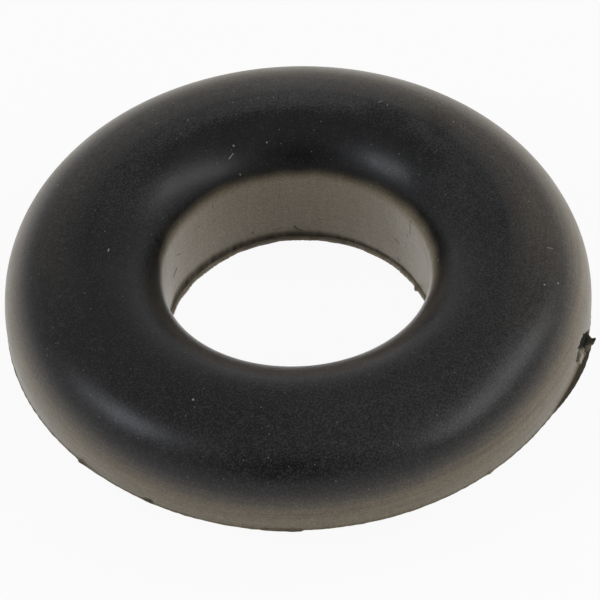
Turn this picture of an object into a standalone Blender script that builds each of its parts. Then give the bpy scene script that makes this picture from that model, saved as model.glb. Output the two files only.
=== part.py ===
"""A moulded rubber grommet that holds a PCV valve in the hole of a valve cover.

It is one piece, turned about the bore's axis: a thick domed flange on top, a neck with
a groove for the edge of the cover's hole, and a tapered lip that snaps through the hole.
The mould's flash stands out along the flange's widest line, and it is torn at one place.
Lengths are in metres. The bore's axis is Z, and the foot stands at Z = 0.
"""

import math

import bmesh
import bpy

OBJECT_NAME = "pcv_valve_grommet"
NODE_NAME = "grommet"

# Diameters. The bore's is its narrowest one, just below the rounded entrance.
FLANGE_DIAMETER = 0.0406
BORE_DIAMETER = 0.0185
NECK_DIAMETER = 0.03175

# Heights, from the foot up
LIP_HEIGHT = 0.0025
GROOVE_WIDTH = 0.0022
PARTING_RISE = 0.0002
DOME_HEIGHT = 0.00585

# The dome is highest along one line, and it falls from there to the flange's edge and into
# the bore. Both falls are superellipses: an exponent of 2 is an ellipse, and more is fuller.
SHOULDER_WIDTH = 0.0057
SHOULDER_EXPONENT = 2.44
ENTRANCE_DEPTH = 0.0041
ENTRANCE_EXPONENT = 1.77

# The groove and the lip below it
GROOVE_FILLET = 0.0003
LIP_OVERHANG = 0.0014
LIP_CORNER = 0.0005
LIP_LAND = 0.0004
LIP_TAPER = 0.0017
FOOT_CORNER = 0.0004

# The bore widens a little towards the foot and ends in a thin lip of flash
BORE_DRAFT = 0.00045
FOOT_FLASH_REACH = 0.00014
FOOT_FLASH_THICKNESS = 0.00022

# Flash along the flange's widest line
FLASH_RIDGE = 0.00004
FLASH_HALF_THICKNESS = 0.0001
TORN_FLASH_REACH = 0.00045
TORN_FLASH_START = math.radians(-15)
TORN_FLASH_END = math.radians(-30)
TORN_FLASH_FALL = 1.3

# The bite beside the torn flash, and the loose flap next to it
BITE_SIZE = (0.0004, 0.0012, 0.0006)
BITE_ANGLE = math.radians(-19.5)
BITE_RISE = 0.0009
FLAP_SIZE = (0.00025, 0.0006, 0.0005)
FLAP_ANGLE = math.radians(-23.5)
FLAP_RISE = 0.0007

# How large a rounding may grow, as a share of what it lies on, when a size changes
FILLET_LIMIT = 0.45
SHOULDER_LIMIT = 0.9
ENTRANCE_LIMIT = 0.9
LAND_LIMIT = 0.3

TURN_STEPS = 96
ROUNDING_SEGMENTS = 14
FILLET_SEGMENTS = 3
MERGE_DISTANCE = 0.00001
SHARP_ANGLE = math.radians(40)
START_TOLERANCE = 0.01

RUBBER_COLOUR = (0.030, 0.030, 0.031, 1.0)
RUBBER_ROUGHNESS = 0.45

# Sizes that follow from the ones above
FLANGE_RADIUS = FLANGE_DIAMETER / 2
BORE_RADIUS = BORE_DIAMETER / 2
NECK_RADIUS = NECK_DIAMETER / 2
LIP_RADIUS = NECK_RADIUS + LIP_OVERHANG
UNDERSIDE_Z = LIP_HEIGHT + GROOVE_WIDTH
PARTING_Z = UNDERSIDE_Z + PARTING_RISE
CROWN_Z = PARTING_Z + DOME_HEIGHT
FLASH_TIP_Z = PARTING_Z - FLASH_HALF_THICKNESS


def clear_scene():
    """Removes what a new file starts with."""
    for item in list(bpy.data.objects):
        bpy.data.objects.remove(item, do_unlink=True)


def new_collection(name):
    collection = bpy.data.collections.new(name)
    bpy.context.scene.collection.children.link(collection)
    return collection


def rubber_material():
    material = bpy.data.materials.new("rubber")
    material.use_nodes = True
    shader = material.node_tree.nodes["Principled BSDF"]
    shader.inputs["Base Color"].default_value = RUBBER_COLOUR
    shader.inputs["Roughness"].default_value = RUBBER_ROUGHNESS
    shader.inputs["Metallic"].default_value = 0.0
    return material


def rounding(size, *walls):
    """A fillet's size, limited to just under half of each wall that it lies on."""
    return min([size] + [FILLET_LIMIT * wall for wall in walls])


def signed_power(value, power):
    return math.copysign(abs(value) ** power, value)


def arc(centre, radii, start, end, segments, exponent=2.0):
    """Points on an ellipse or superellipse, from one angle to another in degrees."""
    points = []
    for step in range(segments + 1):
        angle = math.radians(start + (end - start) * step / segments)
        across = signed_power(math.cos(angle), 2 / exponent)
        up = signed_power(math.sin(angle), 2 / exponent)
        points.append((centre[0] + radii[0] * across, centre[1] + radii[1] * up))
    return points


def crown_radius():
    """The radius of the dome's highest line, kept well inside the ring."""
    ring = FLANGE_RADIUS - BORE_RADIUS
    return FLANGE_RADIUS - min(SHOULDER_WIDTH, SHOULDER_LIMIT * ring)


def shoulder_points():
    """The dome's outer side, from its highest line down to the flange's widest line."""
    centre = (crown_radius(), PARTING_Z)
    radii = (FLANGE_RADIUS - crown_radius(), DOME_HEIGHT)
    return arc(centre, radii, 90, 0, ROUNDING_SEGMENTS, SHOULDER_EXPONENT)


def flash_points():
    """The ridge of flash, and the edge of the flange's flat underside."""
    return [(FLANGE_RADIUS + FLASH_RIDGE, FLASH_TIP_Z), (FLANGE_RADIUS - PARTING_RISE, UNDERSIDE_Z)]


def groove_points():
    """The neck between the flange and the lip, with a fillet in each inner corner."""
    underside = FLANGE_RADIUS - PARTING_RISE - NECK_RADIUS
    fillet = rounding(GROOVE_FILLET, GROOVE_WIDTH, underside, LIP_OVERHANG)
    radii = (fillet, fillet)
    upper = arc((NECK_RADIUS + fillet, UNDERSIDE_Z - fillet), radii, 90, 180, FILLET_SEGMENTS)
    lower = arc((NECK_RADIUS + fillet, LIP_HEIGHT + fillet), radii, 180, 270, FILLET_SEGMENTS)
    return upper + lower


def lip_points():
    """The lip's rounded rim, its short land, and the taper down to the foot."""
    corner = rounding(LIP_CORNER, LIP_OVERHANG, LIP_HEIGHT)
    rim = arc((LIP_RADIUS - corner, LIP_HEIGHT - corner), (corner, corner), 90, 0, FILLET_SEGMENTS)
    land_z = max(LIP_HEIGHT - corner - LIP_LAND, LAND_LIMIT * LIP_HEIGHT)
    foot_corner = rounding(FOOT_CORNER, land_z)
    foot_radius = LIP_RADIUS - LIP_TAPER
    foot_centre = (foot_radius - foot_corner, foot_corner)
    foot = arc(foot_centre, (foot_corner, foot_corner), 0, -90, FILLET_SEGMENTS)
    return rim + [(LIP_RADIUS, land_z)] + foot


def bore_points():
    """The bore, from the thin lip of flash at its foot up its wall and its rounded entrance."""
    wall_radius = BORE_RADIUS + BORE_DRAFT
    lip_radius = wall_radius - FOOT_FLASH_REACH
    foot = [
        (lip_radius, 0.0),
        (lip_radius, FOOT_FLASH_THICKNESS),
        (wall_radius, 2 * FOOT_FLASH_THICKNESS),
    ]
    depth = min(ENTRANCE_DEPTH, ENTRANCE_LIMIT * CROWN_Z)
    centre = (crown_radius(), CROWN_Z - depth)
    radii = (crown_radius() - BORE_RADIUS, depth)
    entrance = arc(centre, radii, 180, 90, ROUNDING_SEGMENTS, ENTRANCE_EXPONENT)
    return foot + entrance[:-1]


def turn(points):
    """A closed section turned once round the Z axis, as a mesh."""
    section = bpy.data.meshes.new("section")
    last = len(points) - 1
    edges = [(i, i + 1) for i in range(last)] + [(last, 0)]
    section.from_pydata([(r, 0.0, z) for r, z in points], edges, [])
    turned = bpy.data.objects.new("turned_section", section)
    bpy.context.scene.collection.objects.link(turned)
    screw = turned.modifiers.new("turn", "SCREW")
    screw.axis = "Z"
    screw.angle = math.radians(360)
    screw.steps = TURN_STEPS
    screw.render_steps = TURN_STEPS
    screw.use_merge_vertices = True
    screw.merge_threshold = MERGE_DISTANCE
    bpy.context.view_layer.update()
    depsgraph = bpy.context.evaluated_depsgraph_get()
    mesh = bpy.data.meshes.new_from_object(turned.evaluated_get(depsgraph))
    bpy.data.objects.remove(turned, do_unlink=True)
    return mesh


def torn_flash_reach(angle):
    """How far the torn flash stands out at this angle: most at its hooked start, then fading out."""
    along = (angle - TORN_FLASH_START) / (TORN_FLASH_END - TORN_FLASH_START)
    if along < -START_TOLERANCE or along > 1:
        return 0.0
    return TORN_FLASH_REACH * (1 - along) ** TORN_FLASH_FALL


def pull_out_torn_flash(mesh):
    """Moves the ridge's points outwards where the flash was torn and not trimmed."""
    shape = bmesh.new()
    shape.from_mesh(mesh)
    for point in shape.verts:
        radius = math.hypot(point.co.x, point.co.y)
        if abs(point.co.z - FLASH_TIP_Z) < MERGE_DISTANCE and radius > FLANGE_RADIUS:
            reach = torn_flash_reach(math.atan2(point.co.y, point.co.x))
            point.co.x *= (radius + reach) / radius
            point.co.y *= (radius + reach) / radius
    shape.to_mesh(mesh)
    shape.free()


def lump(name, size, angle, rise, collection):
    """A small egg shape on the flange's widest line, for cutting a bite or adding a flap."""
    mesh = bpy.data.meshes.new(name)
    shape = bmesh.new()
    bmesh.ops.create_icosphere(shape, subdivisions=2, radius=1.0)
    bmesh.ops.scale(shape, verts=shape.verts, vec=size)
    shape.to_mesh(mesh)
    shape.free()
    helper = bpy.data.objects.new(name, mesh)
    across, along = math.cos(angle), math.sin(angle)
    helper.location = (FLANGE_RADIUS * across, FLANGE_RADIUS * along, PARTING_Z + rise)
    helper.rotation_euler = (0.0, 0.0, angle)
    helper.hide_render = True
    helper.display_type = "WIRE"
    collection.objects.link(helper)
    return helper


def add_boolean(item, helper, operation):
    modifier = item.modifiers.new(helper.name, "BOOLEAN")
    modifier.operation = operation
    modifier.solver = "EXACT"
    modifier.object = helper


def grommet(parts, cutters):
    """The whole grommet: the turned body, then its torn flash."""
    section = shoulder_points() + flash_points() + groove_points() + lip_points() + bore_points()
    mesh = turn(section)
    mesh.name = NODE_NAME
    pull_out_torn_flash(mesh)
    mesh.shade_smooth()
    mesh.set_sharp_from_angle(angle=SHARP_ANGLE)
    mesh.materials.append(rubber_material())
    body = bpy.data.objects.new(NODE_NAME, mesh)
    parts.objects.link(body)
    add_boolean(body, lump("torn_bite", BITE_SIZE, BITE_ANGLE, BITE_RISE, cutters), "DIFFERENCE")
    add_boolean(body, lump("torn_flap", FLAP_SIZE, FLAP_ANGLE, FLAP_RISE, cutters), "UNION")
    return body


clear_scene()
grommet(new_collection(OBJECT_NAME), new_collection("cutters"))
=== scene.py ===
import math

import bpy
import numpy as np
from mathutils import Matrix, Quaternion, Vector


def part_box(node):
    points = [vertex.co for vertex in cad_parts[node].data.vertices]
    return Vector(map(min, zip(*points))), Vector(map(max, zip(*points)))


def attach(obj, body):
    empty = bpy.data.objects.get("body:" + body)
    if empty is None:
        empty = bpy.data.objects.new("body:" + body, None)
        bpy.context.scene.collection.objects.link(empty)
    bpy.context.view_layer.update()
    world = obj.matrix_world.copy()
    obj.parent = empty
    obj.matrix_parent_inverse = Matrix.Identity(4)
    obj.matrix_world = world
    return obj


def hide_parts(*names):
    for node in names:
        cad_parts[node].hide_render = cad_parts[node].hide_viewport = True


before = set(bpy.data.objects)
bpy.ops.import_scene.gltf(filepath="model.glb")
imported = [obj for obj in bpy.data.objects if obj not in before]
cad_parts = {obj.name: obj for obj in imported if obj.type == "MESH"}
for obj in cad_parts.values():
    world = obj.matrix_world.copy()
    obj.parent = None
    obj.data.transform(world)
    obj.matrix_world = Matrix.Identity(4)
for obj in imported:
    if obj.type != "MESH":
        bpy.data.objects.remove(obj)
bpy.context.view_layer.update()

# The looks of a moulded rubber grommet: a fine turned skin with its flash, tears and
# mould lines stands in for the faceted one. Lengths are millimetres up to the camera's
# values, and MM turns them into the scene's metres. Angles round the ring run from +X
# towards +Y, in degrees.

MM = 0.001
NODE = "grommet"

# The turned section
FLANGE_RADIUS = 20.3
CROWN_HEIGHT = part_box(NODE)[1][2] / MM
PARTING_HEIGHT = 4.9
UNDERSIDE_HEIGHT = 4.7
UNDERSIDE_EDGE = 0.2
SHOULDER_WIDTH = 5.7
SHOULDER_EXPONENT = 2.44
ENTRANCE_DEPTH = 4.1
ENTRANCE_EXPONENT = 1.77
BORE_RADIUS = 9.25
BORE_DRAFT = 0.45
NECK_RADIUS = 15.875
LIP_HEIGHT = 2.5
LIP_OVERHANG = 1.4
LIP_CORNER = 0.5
LIP_LAND = 0.4
LIP_TAPER = 1.7
FOOT_CORNER = 0.4
GROOVE_FILLET = 0.3

# The ridge of flash at the widest line: its reach, then its line from root to tip as
# shares of that reach and heights from the parting line
FLASH_RIDGE = 0.04
RIDGE_LINE = [(0.35, -0.02), (0.7, -0.035), (1.0, -0.055), (1.0, -0.085)]

# The lip of flash at the bore's foot: its root stands a little in from the wall, and the
# rises are shares of its thickness
FOOT_FLASH_REACH = 0.14
FOOT_FLASH_THICKNESS = 0.22
FOOT_FLASH_ROOT = 0.03
FOOT_FLASH_RISE = 1.15
WALL_START_RISE = 1.3

# Mesh fineness: steps along the section in millimetres, and round the ring in degrees
SMOOTH_STEP = 0.3
WALL_STEP = 0.1
WALL_TOP = 7.1
CREASE_STEP = 0.08
CREASE_LIMIT = 1.2
COARSE_TURN = 0.62
FINE_TURN = 0.17
FINE_FROM, FINE_TO = -38.0, -12.5
CURVE_SEGMENTS = 2000
FILLET_SEGMENTS = 4
RIM_SEGMENTS = 5
SHARP_ANGLE = math.radians(50)

# Uneven edges and levels: size, slowest and fastest wave round the ring, and seed
TRIM_FINE = (0.015, 40, 220, 3)
TRIM_SLOW = (0.01, 5, 30, 4)
FIN_EDGE = (0.014, 60, 300, 5)
FIN_RIPPLE = (0.02, 60, 300, 13)
OUTLINE_EDGE = (0.05, 60, 380, 17)
FOOT_SLOW = (0.035, 6, 40, 7)
FOOT_FINE = (0.02, 60, 260, 8)
FOOT_RISE = (0.03, 15, 120, 9)
FOOT_STAIN = (1.0, 8, 60, 16)
CREASE_EDGE = (0.05, 10, 90, 14)
CREASE_MOTTLE = (0.1, 20, 120, 15)
BORE_WAVE = (0.02, 3, 14, 11)
BORE_FILM_EDGE = (0.06, 3, 30, 12)

# The ring's slow unevenness: how far its outside swells, round the ring, and how far the
# bore's lower end lies towards +X, fading out between two heights
SWELLS = [
    (-180, 0.03), (-155, -0.02), (-137, -0.12), (-120, -0.13), (-105, -0.08), (-85, -0.1),
    (-40, -0.08), (-28, 0.0), (-14, 0.09), (0, 0.07), (15, -0.04), (30, -0.08),
    (50, -0.08), (80, -0.03), (100, 0.0), (130, 0.07), (160, 0.07), (180, 0.04),
]
BORE_SHIFT = 0.105
BORE_SHIFT_FADE = (3.0, 7.5)

# What was left standing when the flash was trimmed: its reach round the ring
NUBS = [
    (-136.6, 0), (-136.1, 0.13), (-134, 0.06), (-130, 0),
    (-120.8, 0), (-120.4, 0.03), (-118.7, 0.03), (-118.3, 0),
    (-102, 0), (-92.6, 0.1), (-91.3, 0.1), (-91, 0),
    (-55.4, 0), (-55, 0.06), (-54.2, 0.06), (-53.8, 0),
]
NUB_FADE = (0.03, 0.1)
NUB_DARKNESS = 0.6

# A nick just above the trimmed line, darkened as painted shade: its top climbs with the angle from where it
# starts
NICK_FROM, NICK_TO = -120.8, -119.0
NICK_FADE = 0.3
NICK_FOOT_ANGLE = -121.0
NICK_FOOT = 4.95
NICK_CLIMB = 0.09
NICK_EDGE = 0.1
NICK_DEPTH = 0.05
NICK_DARKNESS = 0.45

# The torn flash: its reach round the ring, and the hook that it ends in
FIN = [
    (-37, 0), (-34.5, 0.07), (-32, 0.16), (-29.5, 0.22), (-26.8, 0.27),
    (-23.2, 0.32), (-20.8, 0.33), (-18.5, 0.31), (-17.9, 0.3), (-17.0, 0.5),
    (-16.6, 0.5), (-16.3, 0.4), (-15.8, 0.16), (-15.2, 0),
]
FIN_FADE = (0.0, 0.1)
# The fin's top is darkened with dirt and painted shade
FIN_DARKNESS = 0.65
RIPPLE_LEAN = 3
HOOK_FROM, HOOK_TO = -17.0, -16.4
HOOK_FADE = 0.4
HOOK_RISE = 0.2
HOOK_TURN = 0.25

# A clean patch on the torn flash, and the grime and painted shade along its root
PATCH_FROM, PATCH_TO = -20.0, -18.7
PATCH_FADE = 0.3
PATCH_LEAN = 1.5
ROOT_FADE = (4.95, 5.25)
ROOT_DARKNESS = 0.5

# The bite above the torn flash, the loose flap and the slit beside it: corners as angle and
# height, then how soft each edge is. The edges waver with the angle, leaning with the height
BITE = [(-14.6, 4.85), (-16.2, 5.7), (-20.8, 6.95), (-24.3, 6.9), (-23.6, 6.45), (-18.6, 4.85)]
FLAP = [(-21.5, 5.3), (-23.2, 6.2), (-25.0, 6.5), (-25.8, 6.2), (-23.8, 5.2)]
SLIT = [(-23.6, 6.4), (-24.1, 6.9), (-26.1, 6.3), (-25.8, 6.1)]
BITE_EDGE = 0.2
FLAP_EDGE = 0.16
SLIT_EDGE = 0.1
OUTLINE_LEAN = 5
FLAP_RISE = 0.14
SLIT_DEPTH = 0.08
SLIT_DARKNESS = 0.6

# The bite's depth at its lowest corner, and what each millimetre up and degree round adds
BITE_DEPTH = 0.1
BITE_DEPTH_UP = 0.2
BITE_DEPTH_ROUND = 0.02
BITE_START = -15.0

# A tag of rubber left at the bite's foot
TAG_FROM, TAG_TO = -21.0, -20.5
TAG_FADE = 0.3
TAG_FOOT, TAG_TOP = 4.9, 5.1
TAG_EDGE = 0.1
TAG_RISE = 0.15

# The flash at the bore's foot: one nub, and how far in from the straight wall it is ragged
FOOT_NUB = 0.16
FOOT_NUB_FROM, FOOT_NUB_TO = 23.6, 24.8
FOOT_NUB_FADE = 0.7
FOOT_RAGGED_FROM = 0.01
FOOT_SOLE = 0.05
FOOT_STAIN_DARKNESS = 0.25

# The crease above that flash, darkened with grime and painted shade: the height of its top,
# round the ring. It fades out from a share of that height to a little above it
CREASE_TOPS = [
    (-180, 0.6), (-60, 0.35), (0, 0.42), (20, 0.5), (35, 0.72), (55, 0.72), (62, 0.8),
    (90, 1.1), (125, 1.2), (140, 1.4), (160, 1.6), (170, 1.0), (180, 0.6),
]
CREASE_FADE_START = 0.5
CREASE_FADE_END = 0.3
CREASE_DEPTH = 0.035
CREASE_DARKNESS = 0.8

# The film on the outer wall, partly painted reflection of the floor: its edge is a distance
# from the crown's highest line, less on the far side, on the +X side and at both sides, and its level is a
# little higher at +X
FILM_EDGE = 4.9
FILM_EDGE_FAR = 2.4
FILM_EDGE_RIGHT = 0.25
FILM_EDGE_SIDES = 0.6
FILM_EDGE_SOFT = 1.35
FILM_LEVEL = 0.86
FILM_LEVEL_RIGHT = 0.06
RIDGE_FILM = 0.1
HIDDEN_FILM = 0.6

# The haze of dust and painted sheen on the shoulder between that film and the crown, round the ring
HAZE_AND_SHEEN = [
    (-180, 0.11), (-140, 0.01), (-105, 0.01), (-80, 0.04), (-40, 0.04), (-20, 0.16),
    (0, 0.36), (20, 0.33), (90, 0.39), (140, 0.25), (180, 0.11),
]
HAZE_LEVEL = 0.9
HAZE_FADE = (-1.1, 2.0)

# The film and painted reflection on the near side of the bore's entrance, round the ring, and its upper
# edge
ENTRANCE_FILM_AND_SHEEN = [
    (-180, 0), (-160, 0.06), (-140, 0.2), (-90, 0.26), (-60, 0.31), (-40, 0.34), (-15, 0.15), (0, 0),
]
ENTRANCE_FILM_TOP = 9.8
ENTRANCE_FILM_RISE = 0.8
ENTRANCE_FILM_NEAR = (0.6, 0.95)
ENTRANCE_FILM_EDGE = 0.7

# The film and painted floor reflection in the bore, round the ring: the height of its upper edge, and its
# level
BORE_FILM_TOPS = [
    (-180, 7.75), (-150, 7.55), (-60, 7.8), (-40, 8.1), (-20, 8.6), (0, 8.35),
    (30, 8.1), (60, 7.85), (100, 7.7), (130, 7.85), (160, 7.95), (180, 7.75),
]
BORE_FILM_SOFT = 1.1
BORE_FILM_AND_REFLECTION = [
    (-180, 0.81), (-40, 0.81), (0, 1.0), (25, 0.93), (60, 0.78), (90, 0.72), (120, 0.69),
    (150, 0.79), (180, 0.81),
]

# The dust on top, round the ring, and the painted shade on the far side of the entrance
DUST = [(-180, 0.0), (-150, -0.015), (-90, 0.035), (0, 0.045), (90, 0.205), (180, 0.0)]
DUST_FADE = (8.2, 10.1)
HOLLOW_FAR = (0.3, 0.8)
HOLLOW_FADE = (10.2, 10.7)
HOLLOW_SHADE_DEPTH = 0.03

# Strokes and specks on the bore's wall: width, then the ends as angle and height
BORE_DARK_MARKS = [
    (0.17, (161.0, 3.55), (156.6, 3.7)),
    (0.06, (156.0, 4.95), (152.4, 4.6)),
    (0.04, (146.0, 3.65), (144.5, 3.65)),
    (0.13, (138.0, 5.3), (138.0, 5.3)),
    (0.07, (129.8, 4.7), (127.8, 4.85)),
    (0.06, (129.2, 6.5), (129.0, 6.2)),
    (0.08, (112.5, 2.85), (112.5, 2.85)),
    (0.10, (109.5, 1.7), (108.9, 1.5)),
    (0.06, (98.8, 1.3), (95.4, 1.4)),
    (0.22, (89.9, 1.45), (89.0, 1.2)),
    (0.2, (89.0, 1.2), (86.6, 0.95)),
    (0.14, (90.9, 0.8), (90.6, 0.8)),
    (0.06, (79.4, 2.37), (77.0, 2.37)),
    (0.045, (58.6, 3.78), (56.2, 3.8)),
    (0.1, (40.0, 3.2), (37.6, 3.0)),
    (0.12, (30.9, 4.85), (30.3, 4.85)),
    (0.1, (38.9, 1.2), (38.1, 0.95)),
    (0.14, (41.0, 0.45), (38.8, 0.35)),
    (0.14, (46.8, 0.55), (44.3, 0.55)),
    (0.06, (27.2, 6.9), (28.2, 5.3)),
]
BORE_PALE_MARKS = [
    (0.07, (112.0, 2.9), (112.0, 2.4)),
    (0.05, (129.6, 4.55), (127.4, 4.7)),
    (0.07, (87.5, 5.4), (87.5, 5.4)),
    (0.06, (91.0, 4.6), (91.0, 4.6)),
    (0.08, (84.0, 1.6), (84.0, 1.6)),
    (0.06, (84.0, 6.1), (84.0, 6.1)),
    (0.12, (83.5, 5.3), (82.2, 5.0)),
    (0.07, (63.8, 4.3), (62.8, 3.8)),
    (0.06, (39.6, 3.0), (37.8, 2.85)),
    (0.14, (48.2, 6.6), (36.0, 5.9)),
    (0.12, (22.0, 5.6), (17.0, 3.4)),
]

# Strokes and specks on the crown: width, then the ends as angle and radius
CROWN_PALE_MARKS = [
    (0.045, (115.6, 10.4), (113.2, 10.6)),
    (0.05, (-8.0, 16.95), (-7.8, 17.35)),
    (0.05, (62.8, 14.3), (62.2, 14.55)),
    (0.08, (-177.8, 12.6), (-176.9, 12.65)),
    (0.08, (53.2, 9.4), (53.2, 9.4)),
    (0.09, (127.0, 16.5), (127.0, 16.5)),
    (0.08, (130.0, 15.0), (130.0, 15.0)),
    (0.12, (112.0, 11.0), (112.0, 11.0)),
    (0.10, (99.2, 10.75), (99.2, 10.75)),
    (0.08, (113.0, 9.6), (113.0, 9.6)),
    (0.08, (122.0, 13.9), (122.0, 13.9)),
    (0.08, (121.5, 16.2), (121.5, 16.2)),
    (0.08, (134.5, 15.1), (134.5, 15.1)),
    (0.08, (101.0, 15.7), (101.0, 15.7)),
    (0.08, (106.8, 14.05), (106.8, 14.05)),
    (0.08, (99.2, 14.0), (99.2, 14.0)),
    (0.07, (94.5, 13.9), (94.5, 13.9)),
    (0.08, (105.2, 15.2), (105.2, 15.2)),
    (0.12, (41.2, 15.6), (41.2, 15.6)),
    (0.10, (60.0, 14.3), (60.0, 14.3)),
    (0.10, (52.5, 16.4), (52.5, 16.4)),
    (0.13, (-19.2, 17.15), (-19.2, 17.15)),
    (0.13, (-17.0, 17.95), (-17.0, 17.95)),
    (0.09, (6.8, 16.2), (6.8, 16.2)),
    (0.12, (-4.8, 9.75), (-4.8, 9.75)),
    (0.10, (159.8, 17.55), (159.8, 17.55)),
    (0.14, (-115.5, 15.7), (-115.5, 15.7)),
]
# The first of these is a painted highlight streak by the bore's entrance; the others are scuffs
SCUFFS_AND_HIGHLIGHT = [
    (0.7, (56.0, 10.5), (46.0, 10.5)),
    (0.4, (43.0, 10.8), (36.5, 10.2)),
    (1.2, (-45.0, 17.5), (-32.0, 17.2)),
]
SMUDGES = [
    (1.6, (46.0, 15.2), (41.5, 14.7)),
    (1.4, (38.0, 11.6), (34.0, 12.2)),
    (1.8, (62.0, 13.2), (55.0, 13.4)),
]

# How soft the strokes' edges are, as a share of their half width, and how strong they are
CRISP_EDGE = 0.4
PLAIN_EDGE = 0.5
BLURRED_EDGE = 0.9
DARK_MARK_STRENGTH = 0.85
BORE_PALE_STRENGTH = 0.35
SCUFF_AND_HIGHLIGHT_STRENGTH = 0.06
SMUDGE_STRENGTH = 0.7

# Specks scattered by chance: the cell that may hold one, its size, and the share of cells
# that do. A speck fades from its core's share of its size to its edge
SMALL_SPECKS = (0.6, 0.055, 0.42)
LARGE_SPECKS = (4.0, 0.09, 0.12)
SMALL_SPECK_STRENGTH = 0.45
SPECK_CORE = 0.6
SPECK_CHANCE_EDGE = 0.01

# Colours of the rubber and of what lies on it, with painted reflection, sheen and shade mixed into some
RUBBER_DEEP = (0.0022, 0.0022, 0.0024, 1)
RUBBER_FADED = (0.0045, 0.0045, 0.0044, 1)
DUST_COLOUR = (0.20, 0.197, 0.195, 1)
HAZE_AND_SHEEN_COLOUR = (0.244, 0.201, 0.152, 1)
FILM_AND_SHEEN_COLOUR = (0.253, 0.205, 0.129, 1)
BORE_FILM_AND_REFLECTION_COLOUR = (0.432, 0.363, 0.248, 1)
GRIME_AND_SHADE_COLOUR = (0.011, 0.008, 0.005, 1)
SPECK_COLOUR = (0.29, 0.287, 0.275, 1)

# Patterns: scale, detail and roughness of the noise, and how lines and streaks are drawn out
GRAIN = (8.0, 2.0, 0.6)
MOTTLE = (1.6, 3.0, 0.65)
CLOUDS = (0.16, 3.0, 0.55)
LINES = (1.0, 3.0, 0.6)
TURNED_STRETCH = (0.12, 6.0)
STREAK_STRETCH = (2.2, 2.2, 0.3)

# What each pattern does to a layer: the pattern's range, then the amounts at its two ends,
# which are 0 and 1 where none are given
RUBBER_BY_CLOUDS = (0.35, 0.7)
FILM_BY_MOTTLE = (0.2, 0.75, 0.82, 1.0)
FILM_BY_LINES = (0.35, 0.65, 0.78, 1.02)
FILM_BY_GRAIN = (0.3, 0.7, 0.7, 1.08)
BORE_BY_LINES = (0.3, 0.7, 0.9, 1.0)
BORE_BY_STREAKS = (0.3, 0.7, 0.9, 1.0)
BORE_BY_GRAIN = (0.3, 0.7, 0.68, 1.06)
DUST_BY_GRAIN = (0.33, 0.67, -0.075, 0.1)
DUST_BY_MOTTLE = (0.3, 0.7, -0.02, 0.02)
ROUGHNESS_BY_MOTTLE = (0.2, 0.8, -0.03, 0.03)
ROUGHNESS_BY_CLOUDS = (0.3, 0.7, -0.04, 0.04)

# The amounts of film between which its colour turns from the haze's and painted sheen's to the film's
HAZE_TO_FILM = (0.2, 0.8)

# Gloss and relief: the lines stand out more where the film fills them
SPECULAR_LEVEL = 0.38
ROUGHNESS = 0.34
GRIME_AND_SHADE_ROUGHNESS = 0.6
GRAIN_RELIEF = 0.006
MOTTLE_RELIEF = 0.006
LINE_RELIEF = 0.002
FILMED_LINE_RELIEF = 0.012

# The photograph's camera, aimed at the foot's centre and then turned a little
CAMERA_DISTANCE = 3.0 * 2 * FLANGE_RADIUS * MM
CAMERA_ELEVATION = math.radians(49.04)
CAMERA_PAN = math.radians(0.077)
CAMERA_TILT = math.radians(1.194)
CAMERA_ROLL = math.radians(-2.611)
CAMERA_SENSOR = 36.0
CAMERA_LENS = 101.01
CAMERA_CLIP_START = 0.01

# The studio, in metres. The room's light falls from the horizon's level to the room's
# between two heights, and its dark place is an azimuth and an elevation in degrees
FLOOR_SIZE = 3.0
FLOOR_COLOUR = (0.9, 0.9, 0.9, 1.0)
FLOOR_WHITENESS = 0.93
ROOM_COLOUR = (0.955, 0.966, 1.0, 1.0)
BACKDROP_COLOUR = (0.957, 0.957, 0.957, 1.0)
ROOM_LEVEL = 0.4
HORIZON_LEVEL = 0.95
HORIZON_FROM, HORIZON_TO = math.sin(math.radians(2)), math.sin(math.radians(20))
DARK_LEVEL = 0.02
DARK_PLACE = (-93.0, 34.0)
DARK_CORE = math.radians(11)
DARK_EDGE = math.radians(27)

# The softboxes: where each stands round the object, its roll, size, power and colour
SOFTBOX_DISTANCE = 0.4
LEFT_SOFTBOX = {
    "azimuth": -162,
    "elevation": 37,
    "roll": 0,
    "size": (0.13, 0.12),
    "power": 0.28,
    "colour": (0.89, 0.92, 1.0),
}
RIGHT_SOFTBOX = {
    "azimuth": -13,
    "elevation": 37,
    "roll": 10,
    "size": (0.40, 0.13),
    "power": 0.42,
    "colour": (1.0, 1.0, 1.0),
}


def fade(value, start, end):
    """0 at start and before it, 1 at end and past it, with a smooth step between."""
    share = np.clip((value - start) / (end - start), 0.0, 1.0)
    return share * share * (3 - 2 * share)


def window(value, start, end, soft):
    """1 from start to end, and falling to 0 within soft on either side."""
    return fade(value, start - soft, start) * (1 - fade(value, end, end + soft))


def by_angle(angles, pairs):
    """A value that is given at some angles round the ring, and changes evenly between them."""
    return np.interp(angles, *zip(*pairs))


def ragged(angles, size, slowest, fastest, seed):
    """Uneven but repeatable variation round the ring, mostly from -size to size, from seeded waves."""
    random = np.random.default_rng(seed)
    waves = np.arange(slowest, fastest)
    phases = random.uniform(0, 2 * math.pi, len(waves))
    weights = random.normal(size=len(waves))
    height = (weights * np.sin(np.radians(angles)[..., None] * waves + phases)).sum(axis=-1)
    return size * (height / math.sqrt(2 * (weights**2).sum()))


def curved(centre, radii, start, end, segments, exponent=2.0):
    """Points on an ellipse or superellipse in the section, from one angle to another in degrees."""
    turn = np.radians(np.linspace(start, end, segments + 1))
    across = np.sign(np.cos(turn)) * np.abs(np.cos(turn)) ** (2 / exponent)
    up = np.sign(np.sin(turn)) * np.abs(np.sin(turn)) ** (2 / exponent)
    return np.stack([centre[0] + radii[0] * across, centre[1] + radii[1] * up], axis=1)


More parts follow.
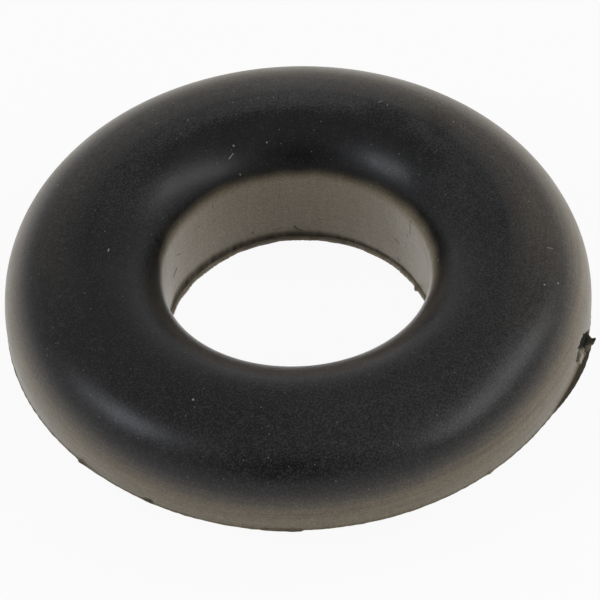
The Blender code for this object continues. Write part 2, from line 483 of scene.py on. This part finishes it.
def along(line, step):
    """The same line with evenly spaced points, about a step apart."""
    spans = np.hypot(*np.diff(line, axis=0).T)
    lengths = np.concatenate([[0.0], np.cumsum(spans)])
    places = np.linspace(0.0, lengths[-1], max(2, round(lengths[-1] / step) + 1))
    radii = np.interp(places, lengths, line[:, 0])
    heights = np.interp(places, lengths, line[:, 1])
    return np.stack([radii, heights], axis=1)


def shoulder():
    """The dome's outer side, with closer points on the wall just above the parting line."""
    centre = (FLANGE_RADIUS - SHOULDER_WIDTH, PARTING_HEIGHT)
    radii = (SHOULDER_WIDTH, CROWN_HEIGHT - PARTING_HEIGHT)
    line = curved(centre, radii, 90, 0, CURVE_SEGMENTS, SHOULDER_EXPONENT)
    line[:, 1] = np.maximum(line[:, 1], PARTING_HEIGHT)
    high = line[line[:, 1] >= WALL_TOP]
    low = line[line[:, 1] <= WALL_TOP]
    return np.concatenate([along(high, SMOOTH_STEP), along(low, WALL_STEP)])


def ridge():
    """The ridge of flash along the flange's widest line."""
    points = [(FLANGE_RADIUS + share * FLASH_RIDGE, PARTING_HEIGHT + rise) for share, rise in RIDGE_LINE]
    return np.array(points)


def groove():
    """The neck between the flange and the lip, with a fillet in each inner corner."""
    fillet = (GROOVE_FILLET, GROOVE_FILLET)
    middle = NECK_RADIUS + GROOVE_FILLET
    upper = curved((middle, UNDERSIDE_HEIGHT - GROOVE_FILLET), fillet, 90, 180, FILLET_SEGMENTS)
    lower = curved((middle, LIP_HEIGHT + GROOVE_FILLET), fillet, 180, 270, FILLET_SEGMENTS)
    return np.concatenate([upper, lower])


def lip():
    """The lip's rounded rim, its short land, and the taper down to the foot."""
    lip_radius = NECK_RADIUS + LIP_OVERHANG
    foot_radius = lip_radius - LIP_TAPER
    rim_centre = (lip_radius - LIP_CORNER, LIP_HEIGHT - LIP_CORNER)
    rim = curved(rim_centre, (LIP_CORNER, LIP_CORNER), 90, 0, RIM_SEGMENTS)
    land = np.array([[lip_radius, LIP_HEIGHT - LIP_CORNER - LIP_LAND]])
    toe_centre = (foot_radius - FOOT_CORNER, FOOT_CORNER)
    toe = curved(toe_centre, (FOOT_CORNER, FOOT_CORNER), 0, -90, FILLET_SEGMENTS)
    return np.concatenate([rim, land, toe])


def foot_flash():
    """The thin lip of flash at the bore's foot, from the sole up to its root."""
    wall_radius = BORE_RADIUS + BORE_DRAFT
    tip_radius = wall_radius - FOOT_FLASH_REACH
    thick = FOOT_FLASH_THICKNESS
    tip = [(tip_radius, 0.0), (tip_radius, 0.5 * thick), (tip_radius, thick)]
    return np.array(tip + [(wall_radius - FOOT_FLASH_ROOT, FOOT_FLASH_RISE * thick)])


def bore_wall():
    """The bore's wall, narrowing upwards, with closer points where the crease is."""
    top = CROWN_HEIGHT - ENTRANCE_DEPTH
    start = WALL_START_RISE * FOOT_FLASH_THICKNESS + CREASE_STEP
    low = np.arange(start, CREASE_LIMIT, CREASE_STEP)
    heights = np.concatenate([low, np.arange(CREASE_LIMIT, top, SMOOTH_STEP)])
    return np.stack([BORE_RADIUS + BORE_DRAFT - BORE_DRAFT * heights / top, heights], axis=1)


def entrance():
    """The dome's inner side, from the top of the bore's wall to the crown's highest line."""
    crown_radius = FLANGE_RADIUS - SHOULDER_WIDTH
    centre = (crown_radius, CROWN_HEIGHT - ENTRANCE_DEPTH)
    radii = (crown_radius - BORE_RADIUS, ENTRANCE_DEPTH)
    return along(curved(centre, radii, 180, 90, CURVE_SEGMENTS, ENTRANCE_EXPONENT), SMOOTH_STEP)


def section():
    """The closed section, as a list of (stretch name, points), down the outside and up the bore."""
    underside = np.array([[FLANGE_RADIUS - UNDERSIDE_EDGE, UNDERSIDE_HEIGHT]])
    return [
        ("shoulder", shoulder()),
        ("ridge", ridge()),
        ("underside", underside),
        ("groove", groove()),
        ("lip", lip()),
        ("foot_flash", foot_flash()),
        ("bore", bore_wall()),
        ("entrance", entrance()[:-1]),
    ]


def turn_angles():
    """Angles round the ring from -180 to 180, closer together where the flash is torn."""
    fine = np.arange(FINE_FROM, FINE_TO, FINE_TURN)
    around = 360.0 - (FINE_TO - FINE_FROM)
    coarse = np.linspace(FINE_TO, FINE_TO + around, round(around / COARSE_TURN), endpoint=False)
    angles = np.concatenate([fine, coarse])
    return np.where(angles > 180, angles - 360, angles)


def quads_between(rows, columns):
    """Quads of a closed grid: it joins up round the ring and round the section."""
    row = np.arange(rows)[:, None]
    column = np.arange(columns)[None, :]
    next_row = (row + 1) % rows
    next_column = (column + 1) % columns
    corners = [
        row * columns + column,
        row * columns + next_column,
        next_row * columns + next_column,
        next_row * columns + column,
    ]
    return np.stack(corners, axis=-1).reshape(-1, 4)


class Skin:
    """The turned skin as grids of angle by place along the section, ready to be shaped."""

    def __init__(self):
        stretches = section()
        points = np.concatenate([line for _, line in stretches])
        names = [name for name, line in stretches for _ in line]
        self.stretch = np.array(names)[None, :]
        self.angle = turn_angles()[:, None]
        self.radius = np.repeat(points[None, :, 0], len(self.angle), axis=0)
        self.height = np.repeat(points[None, :, 1], len(self.angle), axis=0)
        self.turn = np.zeros_like(self.radius)
        self.dark = np.zeros_like(self.radius)
        spans = np.hypot(*np.diff(points, axis=0).T)
        self.along = np.concatenate([[0.0], np.cumsum(spans)])[None, :] + np.zeros_like(self.radius)
        before_crown = self.along - self.along[0, -1] - SMOOTH_STEP
        self.from_crown = np.where(self.on("entrance") > 0, before_crown, self.along)
        self.ridge_share = self.on("ridge") * (self.radius - FLANGE_RADIUS) / FLASH_RIDGE

    def on(self, *names):
        """1 on the named stretches of the section, and 0 elsewhere."""
        return np.isin(self.stretch, names).astype(float)

    def inside(self, corners, soft):
        """1 within a convex outline on the outer wall, fading to 0 across its edge."""
        across = np.radians(self.angle) * FLANGE_RADIUS
        depth = np.full_like(self.radius, np.inf)
        for (angle, height), (next_angle, next_height) in zip(corners, corners[1:] + corners[:1]):
            run, rise = math.radians(next_angle - angle) * FLANGE_RADIUS, next_height - height
            beside = across - math.radians(angle) * FLANGE_RADIUS
            offset = run * (self.height - height) - rise * beside
            depth = np.minimum(depth, offset / math.hypot(run, rise))
        depth += ragged(self.angle + OUTLINE_LEAN * self.height, *OUTLINE_EDGE)
        return fade(depth, -0.5 * soft, 0.5 * soft) * self.on("shoulder")

    def mesh(self, name):
        """The grids as a closed mesh in metres."""
        turn = np.radians(self.angle + self.turn)
        x = self.radius * np.cos(turn)
        y = self.radius * np.sin(turn)
        places = np.stack([x, y, self.height], axis=-1).reshape(-1, 3) * MM
        mesh = bpy.data.meshes.new(name)
        mesh.from_pydata(places.tolist(), [], quads_between(*self.radius.shape).tolist())
        mesh.shade_smooth()
        mesh.set_sharp_from_angle(angle=SHARP_ANGLE)
        return mesh


def shape_waves(skin):
    """The slight unevenness of a soft moulding that was pulled from its mould."""
    skin.radius += by_angle(skin.angle, SWELLS) * skin.on("shoulder", "ridge", "underside")
    wave = ragged(skin.angle, *BORE_WAVE) + BORE_SHIFT * np.cos(np.radians(skin.angle))
    low = 1 - fade(skin.height, *BORE_SHIFT_FADE)
    skin.radius += wave * low * skin.on("bore", "foot_flash", "entrance")


def shape_trimmed_flash(skin):
    """The thin ridge of flash along the parting line, uneven from trimming, with a nick above it."""
    trimmed = ragged(skin.angle, *TRIM_FINE) + ragged(skin.angle, *TRIM_SLOW)
    nubs = by_angle(skin.angle, NUBS)
    skin.radius += skin.ridge_share * (trimmed + nubs)
    skin.dark += NUB_DARKNESS * skin.ridge_share * fade(nubs, *NUB_FADE)
    nick_top = NICK_FOOT + NICK_CLIMB * (skin.angle - NICK_FOOT_ANGLE)
    below = 1 - fade(skin.height, nick_top, nick_top + NICK_EDGE)
    nick = window(skin.angle, NICK_FROM, NICK_TO, NICK_FADE) * below
    skin.radius -= NICK_DEPTH * nick * skin.on("shoulder")
    skin.dark += NICK_DARKNESS * nick * skin.on("shoulder", "ridge")


def shape_torn_flash(skin):
    """The torn flash: a hooked fin darkened with dirt and painted shade, and above it a bite in the wall,
    darkened as painted shade, with a loose flap beside it.
    """
    reach = by_angle(skin.angle, FIN)
    torn = fade(reach, *FIN_FADE)
    skin.radius += skin.ridge_share * (reach + ragged(skin.angle, *FIN_EDGE) * torn)
    ripple = ragged(skin.angle + RIPPLE_LEAN * skin.ridge_share, *FIN_RIPPLE)
    skin.height += skin.ridge_share * ripple * torn
    hook = window(skin.angle, HOOK_FROM, HOOK_TO, HOOK_FADE) * skin.ridge_share
    skin.height += HOOK_RISE * hook**2
    skin.turn += HOOK_TURN * hook

    bite = skin.inside(BITE, BITE_EDGE)
    flap = skin.inside(FLAP, FLAP_EDGE)
    slit = skin.inside(SLIT, SLIT_EDGE)
    tag = window(skin.angle, TAG_FROM, TAG_TO, TAG_FADE) * skin.on("shoulder")
    tag = tag * window(skin.height, TAG_FOOT, TAG_TOP, TAG_EDGE)
    depth = BITE_DEPTH + BITE_DEPTH_UP * (skin.height - PARTING_HEIGHT)
    depth = depth - BITE_DEPTH_ROUND * (skin.angle - BITE_START)
    skin.radius += FLAP_RISE * flap + TAG_RISE * tag - depth * bite - SLIT_DEPTH * slit

    on_fin = skin.ridge_share > 0
    patch = window(skin.angle - PATCH_LEAN * skin.ridge_share, PATCH_FROM, PATCH_TO, PATCH_FADE) * on_fin
    root = skin.on("shoulder") * (1 - fade(skin.height, *ROOT_FADE)) * torn * (1 - tag)
    # The fin's top and its root are darkened with dirt and painted shade; the bite and the slit are painted
    # shade in their hollows
    skin.dark += FIN_DARKNESS * torn * on_fin * (1 - patch)
    skin.dark += ROOT_DARKNESS * root + bite + SLIT_DARKNESS * slit


def shape_foot_flash(skin):
    """The ragged lip of flash round the bore's foot, with one nub, and the crease above it, darkened with
    grime and painted shade.
    """
    clear_of_wall = skin.radius < BORE_RADIUS + BORE_DRAFT - FOOT_RAGGED_FROM
    rough = ragged(skin.angle, *FOOT_SLOW) + ragged(skin.angle, *FOOT_FINE)
    nub = FOOT_NUB * window(skin.angle, FOOT_NUB_FROM, FOOT_NUB_TO, FOOT_NUB_FADE)
    skin.radius -= skin.on("foot_flash") * clear_of_wall * (rough + nub)
    above_sole = skin.height > FOOT_SOLE
    skin.height += skin.on("foot_flash") * above_sole * ragged(skin.angle, *FOOT_RISE)

    top = by_angle(skin.angle, CREASE_TOPS) + ragged(skin.angle, *CREASE_EDGE)
    crease = 1 - fade(skin.height, CREASE_FADE_START * top, top + CREASE_FADE_END)
    crease = crease * skin.on("bore")
    skin.radius += CREASE_DEPTH * crease
    # The crease's darkening is grime and painted shade in the corner above the flash
    skin.dark += (CREASE_DARKNESS + ragged(skin.angle, *CREASE_MOTTLE)) * crease
    stain = np.clip(ragged(skin.angle, *FOOT_STAIN), 0, 1)
    skin.dark += FOOT_STAIN_DARKNESS * skin.on("foot_flash") * stain


def outer_film_and_sheen(skin):
    """How much film and painted reflection lie on the outside: on the wall, as haze and painted sheen on
    the shoulder, and in the entrance.
    """
    right = np.cos(np.radians(skin.angle))
    far = np.sin(np.radians(skin.angle))
    edge = FILM_EDGE - FILM_EDGE_FAR * far - FILM_EDGE_RIGHT * right - FILM_EDGE_SIDES * right**2
    level = FILM_LEVEL + FILM_LEVEL_RIGHT * right
    film_and_sheen = level * fade(skin.from_crown, edge - FILM_EDGE_SOFT, edge + FILM_EDGE_SOFT)
    film_and_sheen += RIDGE_FILM * skin.on("ridge")
    film_and_sheen += HAZE_LEVEL * by_angle(skin.angle, HAZE_AND_SHEEN) * fade(skin.from_crown, *HAZE_FADE) * (1 - film_and_sheen)
    top = ENTRANCE_FILM_TOP + ENTRANCE_FILM_RISE * fade(-far, *ENTRANCE_FILM_NEAR)
    inner = by_angle(skin.angle, ENTRANCE_FILM_AND_SHEEN) * (1 - fade(skin.height, top - ENTRANCE_FILM_EDGE, top))
    film_and_sheen = film_and_sheen * skin.on("shoulder", "ridge") + inner * skin.on("entrance")
    return np.maximum(film_and_sheen, HIDDEN_FILM * skin.on("underside", "groove", "lip"))


def bore_film_and_reflection(skin):
    """How much film and painted floor reflection lie in the bore, up to an uneven edge in its entrance."""
    top = by_angle(skin.angle, BORE_FILM_TOPS) + ragged(skin.angle, *BORE_FILM_EDGE)
    below = 1 - fade(skin.height, top - BORE_FILM_SOFT, top)
    return skin.on("bore", "foot_flash", "entrance") * by_angle(skin.angle, BORE_FILM_AND_REFLECTION) * below


def dust_and_shade(skin):
    """How much dust lies on top, and less than none on the far side of the entrance, which is painted
    shade.
    """
    far = np.sin(np.radians(skin.angle))
    amount = by_angle(skin.angle, DUST) * skin.on("shoulder", "entrance") * fade(skin.height, *DUST_FADE)
    painted_hollow_shade = skin.on("entrance") * fade(far, *HOLLOW_FAR) * (1 - fade(skin.height, *HOLLOW_FADE))
    return amount * (1 - painted_hollow_shade) - HOLLOW_SHADE_DEPTH * painted_hollow_shade


def add_number(mesh, name, values):
    """Stores one number for each vertex, for the material to read."""
    layer = mesh.attributes.new(name, "FLOAT", "POINT")
    layer.data.foreach_set("value", values.astype(np.float32).ravel())


def skin_mesh(name):
    """The shaped skin, with the amounts that its material reads: film with painted reflection and sheen,
    dust, and grime and painted shade.
    """
    skin = Skin()
    amounts = {"film_and_sheen": outer_film_and_sheen(skin), "bore": bore_film_and_reflection(skin), "dust_and_shade": dust_and_shade(skin)}
    shape_waves(skin)
    shape_trimmed_flash(skin)
    shape_torn_flash(skin)
    shape_foot_flash(skin)
    mesh = skin.mesh(name)
    add_number(mesh, "along", skin.along)
    add_number(mesh, "dark", np.clip(skin.dark, 0, 1))
    for amount_name, values in amounts.items():
        add_number(mesh, amount_name, values)
    return mesh


def link(tree, source, socket):
    """Joins a socket to a node's first output, to another socket, or sets it to a plain value."""
    if isinstance(source, bpy.types.Node):
        source = source.outputs[0]
    if isinstance(source, bpy.types.NodeSocket):
        tree.links.new(source, socket)
    else:
        socket.default_value = source


def calculate(tree, operation, *values):
    """The result of one math node on plain values or other nodes' results."""
    node = tree.nodes.new("ShaderNodeMath")
    node.operation = operation
    for value, socket in zip(values, node.inputs):
        link(tree, value, socket)
    return node.outputs[0]


def combined(tree, operation, first, *others):
    """Works through any number of values with one operation, two at a time."""
    for other in others:
        first = calculate(tree, operation, first, other)
    return first


def product(tree, *values):
    return combined(tree, "MULTIPLY", *values)


def total(tree, *values):
    return combined(tree, "ADD", *values)


def largest(tree, *values):
    return combined(tree, "MAXIMUM", *values)


def vector_math(tree, operation, *values):
    node = tree.nodes.new("ShaderNodeVectorMath")
    node.operation = operation
    for value, socket in zip(values, node.inputs):
        link(tree, value, socket)
    return node.outputs["Value" if operation in ("DOT_PRODUCT", "DISTANCE") else "Vector"]


def scaled(tree, vector, factor):
    node = tree.nodes.new("ShaderNodeVectorMath")
    node.operation = "SCALE"
    link(tree, vector, node.inputs[0])
    link(tree, factor, node.inputs["Scale"])
    return node.outputs["Vector"]


def steps(tree, value, start, end, low=0.0, high=1.0):
    """Turns a range of a value into another range, smoothly and without passing its ends."""
    node = tree.nodes.new("ShaderNodeMapRange")
    node.interpolation_type = "SMOOTHSTEP"
    link(tree, value, node.inputs["Value"])
    node.inputs["From Min"].default_value = start
    node.inputs["From Max"].default_value = end
    node.inputs["To Min"].default_value = low
    node.inputs["To Max"].default_value = high
    return node.outputs[0]


def noise(tree, place, scale, detail, roughness):
    node = tree.nodes.new("ShaderNodeTexNoise")
    link(tree, place, node.inputs["Vector"])
    node.inputs["Scale"].default_value = scale
    node.inputs["Detail"].default_value = detail
    node.inputs["Roughness"].default_value = roughness
    return node.outputs[0]


def blend(tree, share, first, second, kind="RGBA"):
    """From the first value to the second, by a share from 0 to 1."""
    node = tree.nodes.new("ShaderNodeMix")
    node.data_type = kind
    link(tree, share, node.inputs["Factor"])
    link(tree, first, node.inputs["A"])
    link(tree, second, node.inputs["B"])
    return node.outputs["Result"]


def stored(tree, name):
    """The number that the mesh stores for each vertex under this name."""
    node = tree.nodes.new("ShaderNodeAttribute")
    node.attribute_name = name
    return node.outputs["Fac"]


def millimetres(tree):
    """The place on the object, in millimetres."""
    place = tree.nodes.new("ShaderNodeTexCoord")
    return scaled(tree, place.outputs["Object"], 1 / MM)


def on_bore(angle, height):
    """The place at this angle and height on the bore's wall, taken as straight."""
    turn = math.radians(angle)
    return Vector((BORE_RADIUS * math.cos(turn), BORE_RADIUS * math.sin(turn), height))


def on_plan(angle, radius):
    """The place at this angle and radius, seen from above."""
    turn = math.radians(angle)
    return Vector((radius * math.cos(turn), radius * math.sin(turn), 0.0))


def strokes(tree, place, marks, ends, softness):
    """1 within any of the strokes, each from one place to another, fading out at their edges."""
    strongest = 0.0
    for width, first, last in marks:
        start, run = ends(*first), ends(*last) - ends(*first)
        offset = vector_math(tree, "SUBTRACT", place, start)
        if run.length > 0:
            share = vector_math(tree, "DOT_PRODUCT", offset, run / run.length_squared)
            share = calculate(tree, "MINIMUM", calculate(tree, "MAXIMUM", share, 0.0), 1.0)
            distance = vector_math(tree, "DISTANCE", offset, scaled(tree, run, share))
        else:
            distance = vector_math(tree, "DISTANCE", offset, Vector((0.0, 0.0, 0.0)))
        near = steps(tree, distance, 0.5 * width * (1 - softness), 0.5 * width * (1 + softness), 1.0, 0.0)
        strongest = calculate(tree, "MAXIMUM", strongest, near)
    return strongest


def ring_place(tree, place, slow, fast):
    """A place that changes slowly round the ring and fast along the section, for turned lines."""
    split = tree.nodes.new("ShaderNodeSeparateXYZ")
    join = tree.nodes.new("ShaderNodeCombineXYZ")
    link(tree, place, split.inputs[0])
    link(tree, product(tree, split.outputs["X"], slow), join.inputs["X"])
    link(tree, product(tree, split.outputs["Y"], slow), join.inputs["Y"])
    link(tree, product(tree, stored(tree, "along"), fast), join.inputs["Z"])
    return join.outputs[0]


def dust_specks(tree, place, cell, size, share):
    """Tiny pale specks: one may lie in each cell, and only this share of the cells has one."""
    cells = tree.nodes.new("ShaderNodeTexVoronoi")
    link(tree, place, cells.inputs["Vector"])
    cells.inputs["Scale"].default_value = 1 / cell
    present = steps(tree, cells.outputs["Color"], 1 - share - SPECK_CHANCE_EDGE, 1 - share)
    near = steps(tree, cells.outputs["Distance"], SPECK_CORE * size / cell, size / cell, 1.0, 0.0)
    return product(tree, present, near)


class Layers:
    """What the colour, gloss and relief share: patterns, stored amounts and marks."""

    def __init__(self, tree):
        self.place = millimetres(tree)
        plan = vector_math(tree, "MULTIPLY", self.place, Vector((1.0, 1.0, 0.0)))
        upright = vector_math(tree, "MULTIPLY", self.place, Vector((0.0, 0.0, 1.0)))
        outwards = vector_math(tree, "NORMALIZE", plan)
        unrolled = vector_math(tree, "ADD", scaled(tree, outwards, BORE_RADIUS), upright)
        self.grain = noise(tree, self.place, *GRAIN)
        self.mottle = noise(tree, self.place, *MOTTLE)
        self.clouds = noise(tree, self.place, *CLOUDS)
        self.turned = noise(tree, ring_place(tree, self.place, *TURNED_STRETCH), *LINES)
        drawn_down = vector_math(tree, "MULTIPLY", self.place, Vector(STREAK_STRETCH))
        self.streaks = noise(tree, drawn_down, *LINES)
        self.film_and_sheen = stored(tree, "film_and_sheen")
        self.bore = stored(tree, "bore")
        self.dust_and_shade = stored(tree, "dust_and_shade")
        dark_marks = product(tree, strokes(tree, unrolled, BORE_DARK_MARKS, on_bore, CRISP_EDGE), self.bore)
        self.dark = largest(tree, stored(tree, "dark"), product(tree, dark_marks, DARK_MARK_STRENGTH))
        bore_pale = strokes(tree, unrolled, BORE_PALE_MARKS, on_bore, PLAIN_EDGE)
        self.bore_pale = product(tree, bore_pale, self.bore)
        on_top = calculate(tree, "SUBTRACT", 1.0, self.bore)
        crown_pale = strokes(tree, plan, CROWN_PALE_MARKS, on_plan, CRISP_EDGE)
        self.crown_pale = product(tree, crown_pale, on_top)
        self.scuffs_and_highlight = product(tree, strokes(tree, plan, SCUFFS_AND_HIGHLIGHT, on_plan, BLURRED_EDGE), on_top)
        self.smudges = strokes(tree, plan, SMUDGES, on_plan, BLURRED_EDGE)


def dusty_rubber(tree, layers):
    """Black rubber, a little faded in places, under dust with its smudges and scuffs, one of them a painted
    highlight, and darker on the far side of the entrance as painted shade.
    """
    faded = steps(tree, layers.clouds, *RUBBER_BY_CLOUDS)
    rubber = blend(tree, faded, RUBBER_DEEP, RUBBER_FADED)
    unsmudged = calculate(tree, "SUBTRACT", 1.0, product(tree, layers.smudges, SMUDGE_STRENGTH))
    amount = total(
        tree,
        product(tree, layers.dust_and_shade, unsmudged),
        product(tree, layers.scuffs_and_highlight, SCUFF_AND_HIGHLIGHT_STRENGTH),
        steps(tree, layers.grain, *DUST_BY_GRAIN),
        steps(tree, layers.mottle, *DUST_BY_MOTTLE),
    )
    return blend(tree, amount, rubber, DUST_COLOUR)


def filmed_and_shaded(tree, layers, below):
    """The film and painted reflection on the outside and in the bore, broken up by the patterns, then the
    grime and painted shade.
    """
    outer = product(
        tree,
        layers.film_and_sheen,
        steps(tree, layers.mottle, *FILM_BY_MOTTLE),
        steps(tree, layers.turned, *FILM_BY_LINES),
        steps(tree, layers.grain, *FILM_BY_GRAIN),
    )
    outer_colour = blend(tree, steps(tree, layers.film_and_sheen, *HAZE_TO_FILM), HAZE_AND_SHEEN_COLOUR, FILM_AND_SHEEN_COLOUR)
    inner = product(
        tree,
        layers.bore,
        steps(tree, layers.turned, *BORE_BY_LINES),
        steps(tree, layers.streaks, *BORE_BY_STREAKS),
        steps(tree, layers.grain, *BORE_BY_GRAIN),
    )
    colour = blend(tree, outer, below, outer_colour)
    colour = blend(tree, inner, colour, BORE_FILM_AND_REFLECTION_COLOUR)
    return blend(tree, layers.dark, colour, GRIME_AND_SHADE_COLOUR)


def specked(tree, layers, below):
    """The scattered specks, and the pale strokes in the bore and on the crown."""
    small = dust_specks(tree, layers.place, *SMALL_SPECKS)
    amount = largest(
        tree,
        product(tree, small, SMALL_SPECK_STRENGTH),
        dust_specks(tree, layers.place, *LARGE_SPECKS),
        product(tree, layers.bore_pale, BORE_PALE_STRENGTH),
        layers.crown_pale,
    )
    return blend(tree, amount, below, SPECK_COLOUR)


def gloss(tree, layers):
    """Satin, uneven, and dull on the grime and the painted shade."""
    return total(
        tree,
        steps(tree, layers.mottle, *ROUGHNESS_BY_MOTTLE),
        ROUGHNESS,
        steps(tree, layers.clouds, *ROUGHNESS_BY_CLOUDS),
        product(tree, layers.dark, GRIME_AND_SHADE_ROUGHNESS),
    )


def relief(tree, layers):
    """The grain and the turned lines as bumps."""
    line_relief = total(tree, product(tree, layers.film_and_sheen, FILMED_LINE_RELIEF), LINE_RELIEF)
    height = total(
        tree,
        product(tree, layers.grain, GRAIN_RELIEF),
        product(tree, layers.mottle, MOTTLE_RELIEF),
        product(tree, layers.turned, line_relief),
    )
    bump = tree.nodes.new("ShaderNodeBump")
    bump.inputs["Distance"].default_value = MM
    link(tree, height, bump.inputs["Height"])
    return bump.outputs[0]


def rubber_material():
    """Black satin rubber, with a dusty beige film and painted floor reflection low on the wall and in the
    bore, and painted shade in its hollows.
    """
    material = bpy.data.materials.new("satin_rubber")
    material.use_nodes = True
    tree = material.node_tree
    shader = tree.nodes["Principled BSDF"]
    layers = Layers(tree)
    colour = specked(tree, layers, filmed_and_shaded(tree, layers, dusty_rubber(tree, layers)))
    link(tree, colour, shader.inputs["Base Color"])
    link(tree, gloss(tree, layers), shader.inputs["Roughness"])
    link(tree, relief(tree, layers), shader.inputs["Normal"])
    shader.inputs["Specular IOR Level"].default_value = SPECULAR_LEVEL
    return material


def add_grommet():
    skin = bpy.data.objects.new("grommet_skin", skin_mesh("grommet_skin"))
    bpy.context.scene.collection.objects.link(skin)
    skin.data.materials.append(rubber_material())
    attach(skin, "root")
    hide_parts(NODE)


def floor_material():
    """White to the camera and in gloss, and otherwise a plain white surface that takes a shadow."""
    material = bpy.data.materials.new("white_floor")
    material.use_nodes = True
    tree = material.node_tree
    tree.nodes.clear()
    output = tree.nodes.new("ShaderNodeOutputMaterial")
    surface = tree.nodes.new("ShaderNodeBsdfDiffuse")
    surface.inputs["Color"].default_value = FLOOR_COLOUR
    white = tree.nodes.new("ShaderNodeEmission")
    white.inputs["Strength"].default_value = 1.0
    path = tree.nodes.new("ShaderNodeLightPath")
    mix = tree.nodes.new("ShaderNodeMixShader")
    camera_share = product(tree, path.outputs["Is Camera Ray"], FLOOR_WHITENESS)
    share = largest(tree, camera_share, path.outputs["Is Glossy Ray"])
    link(tree, share, mix.inputs["Fac"])
    tree.links.new(surface.outputs[0], mix.inputs[1])
    tree.links.new(white.outputs[0], mix.inputs[2])
    tree.links.new(mix.outputs[0], output.inputs["Surface"])
    return material


def add_floor():
    bpy.ops.mesh.primitive_plane_add(size=FLOOR_SIZE, location=(0, 0, 0))
    floor = bpy.context.object
    floor.name = "floor"
    floor.data.materials.append(floor_material())


def direction(azimuth, elevation):
    """The unit vector towards a place round the object, from its angles in degrees."""
    turn, rise = math.radians(azimuth), math.radians(elevation)
    return Vector((math.cos(rise) * math.cos(turn), math.cos(rise) * math.sin(turn), math.sin(rise)))


def add_softbox(name, azimuth, elevation, roll, size, power, colour):
    """A rectangular lamp that looks at the object, turned by its roll about that line."""
    light = bpy.data.lights.new(name, "AREA")
    light.shape = "RECTANGLE"
    light.size, light.size_y = size
    light.energy = power
    light.color = colour
    lamp = bpy.data.objects.new(name, light)
    towards = direction(azimuth, elevation)
    lamp.location = towards * SOFTBOX_DISTANCE
    level = towards.to_track_quat("Z", "Y")
    lamp.rotation_euler = (level @ Quaternion((0, 0, 1), math.radians(roll))).to_euler()
    bpy.context.scene.collection.objects.link(lamp)


def set_world():
    """An even pale room that is brighter at the horizon, with one dark place on the camera's side."""
    world = bpy.data.worlds.new("studio")
    bpy.context.scene.world = world
    world.use_nodes = True
    tree = world.node_tree
    background = tree.nodes["Background"]
    way = tree.nodes.new("ShaderNodeTexCoord").outputs["Generated"]
    split = tree.nodes.new("ShaderNodeSeparateXYZ")
    link(tree, way, split.inputs[0])
    room = steps(tree, split.outputs["Z"], HORIZON_FROM, HORIZON_TO, HORIZON_LEVEL, ROOM_LEVEL)
    nearness = vector_math(tree, "DOT_PRODUCT", way, direction(*DARK_PLACE))
    dark = steps(tree, nearness, math.cos(DARK_EDGE), math.cos(DARK_CORE))
    level = blend(tree, dark, room, DARK_LEVEL, "FLOAT")
    camera_ray = tree.nodes.new("ShaderNodeLightPath").outputs["Is Camera Ray"]
    link(tree, largest(tree, level, camera_ray), background.inputs["Strength"])
    link(tree, blend(tree, camera_ray, ROOM_COLOUR, BACKDROP_COLOUR), background.inputs["Color"])


def swung(first, second, angle):
    """Two directions at right angles, both turned by an angle in their own plane."""
    return (
        first * math.cos(angle) - second * math.sin(angle),
        first * math.sin(angle) + second * math.cos(angle),
    )


def add_camera():
    """The photograph's view: looking along +Y and down, then panned, tilted and rolled."""
    right = Vector((1, 0, 0))
    up = Vector((0, math.sin(CAMERA_ELEVATION), math.cos(CAMERA_ELEVATION)))
    back = Vector((0, -math.cos(CAMERA_ELEVATION), math.sin(CAMERA_ELEVATION)))
    right, forward = swung(right, -back, CAMERA_PAN)
    up, forward = swung(up, forward, CAMERA_TILT)
    up, right = swung(up, right, CAMERA_ROLL)
    camera = bpy.data.objects.new("camera", bpy.data.cameras.new("camera"))
    axes = Matrix((right, up, -forward)).transposed().to_4x4()
    camera.matrix_world = Matrix.Translation(back * CAMERA_DISTANCE) @ axes
    camera.data.sensor_width = CAMERA_SENSOR
    camera.data.lens = CAMERA_LENS
    camera.data.clip_start = CAMERA_CLIP_START
    bpy.context.scene.collection.objects.link(camera)
    bpy.context.scene.camera = camera


add_grommet()
add_floor()
add_softbox("left_softbox", **LEFT_SOFTBOX)
add_softbox("right_softbox", **RIGHT_SOFTBOX)
set_world()
add_camera()
bpy.context.scene.view_settings.view_transform = "Standard"
